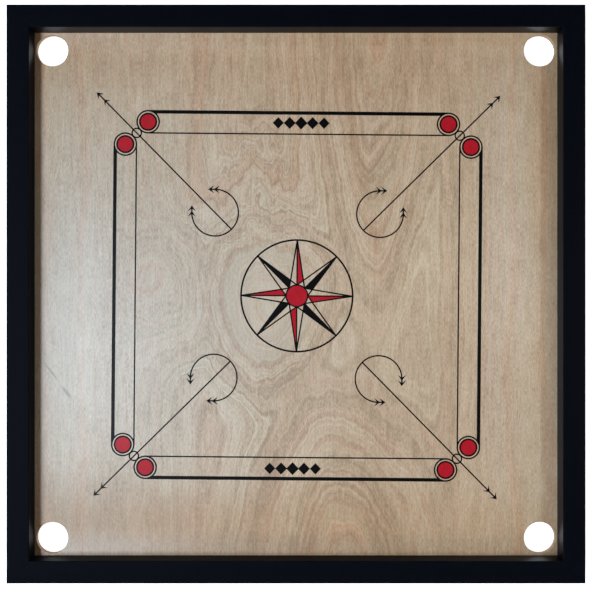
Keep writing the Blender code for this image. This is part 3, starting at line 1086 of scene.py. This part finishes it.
def lap_notches(name):
    """What the two battens that cross this one take out of it: its lower half if it lies along X."""
    low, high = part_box("batten_" + name)
    middle = (low.z + high.z) / 2
    floor, ceiling = middle - GAP / 2, high.z + RUNOUT
    if runs_along_x(name):
        floor, ceiling = low.z - RUNOUT, middle + GAP / 2
    notches = []
    for other in SIDES:
        if runs_along_x(other) == runs_along_x(name):
            continue
        (x1, y1, _), (x2, y2, _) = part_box("batten_" + other)
        x1, y1, x2, y2 = x1 - GAP, y1 - GAP, x2 + GAP, y2 + GAP
        notches.append(bmesh.new())
        loft(notches[-1], [[(x1, y1, z), (x2, y1, z), (x2, y2, z), (x1, y2, z)]
                           for z in (floor, ceiling)])
    return notches


def build_battens():
    """Four half-lapped battens with the holes of their screws."""
    for index, name in enumerate(SIDES):
        low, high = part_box("batten_" + name)
        along_x = runs_along_x(name)
        timber = batten_timber("batten_timber_" + name, along_x, 3.0 + 5.0 * index)
        solid = batten_bmesh(low, high, along_x)
        batten = finish_piece("v_batten_" + name, solid, timber, "batten_timber")
        cut_out(batten, lap_notches(name) + holes_in(low, high))
        dress(batten, timber)
        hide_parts("batten_" + name)


# ---------------- the studio

def build_backdrop():
    """A white floor that curves up to a low wall all round."""
    profile = [(0, -FLOOR_DROP), (FLOOR_MIDDLE, -FLOOR_DROP), (FLOOR_REACH, -FLOOR_DROP)]
    centre = (FLOOR_REACH, FLOOR_SWEEP - FLOOR_DROP)
    profile += arc(centre, FLOOR_SWEEP, -90, 0, 8)[1:]
    bm = bmesh.new()
    turned(bm, profile, BACKDROP_SIDES)
    backdrop = add_object("backdrop", to_mesh("backdrop", bm))
    backdrop.data.shade_smooth()
    backdrop.data.materials.append(studio_white())
    build_upper_wall(*profile[-1])


def build_upper_wall(radius, foot):
    """The wall's white upper part: it only fills the picture, and gives the board no light."""
    bm = bmesh.new()
    turned(bm, [(radius, foot), (radius, WALL_TOP)], BACKDROP_SIDES)
    wall = add_object("upper_wall", to_mesh("upper_wall", bm))
    wall.data.materials.append(plain_glow())
    wall.visible_diffuse = False
    wall.visible_glossy = False
    wall.visible_transmission = False
    wall.visible_shadow = False


def softbox(name, centre, aim, size, radiance, colour):
    """A rectangular lamp of an even brightness."""
    lamp = bpy.data.lights.new(name, "AREA")
    lamp.shape = "RECTANGLE"
    lamp.size, lamp.size_y = size
    lamp.energy = radiance * math.pi * size[0] * size[1]
    lamp.color = colour
    holder = add_object(name, lamp)
    holder.location = centre
    holder.rotation_euler = (Vector(aim) - Vector(centre)).to_track_quat("-Z", "Y").to_euler()


def build_studio():
    """The backdrop, the lamps and a dim grey room round them."""
    build_backdrop()
    for lamp in LAMPS:
        softbox(*lamp)
    world = bpy.data.worlds.new("room")
    world.use_nodes = True
    world.node_tree.nodes["Background"].inputs["Color"].default_value = (*ROOM_COLOUR, 1.0)
    bpy.context.scene.world = world
    bpy.context.scene.view_settings.view_transform = "Standard"


def build_camera():
    """Straight above the board, looking down, with +Y up in the picture."""
    lens = bpy.data.cameras.new("camera")
    lens.lens = lens.sensor_width * CAMERA_HEIGHT / CAMERA_SPAN
    camera = add_object("camera", lens)
    camera.location = (0.0, CAMERA_FORWARD, FACE_Z + CAMERA_HEIGHT)
    bpy.context.scene.camera = camera


build_panel()
build_print()
build_rails(black_lacquer())
build_battens()
build_screws(blackened_steel())
build_studio()
build_camera()
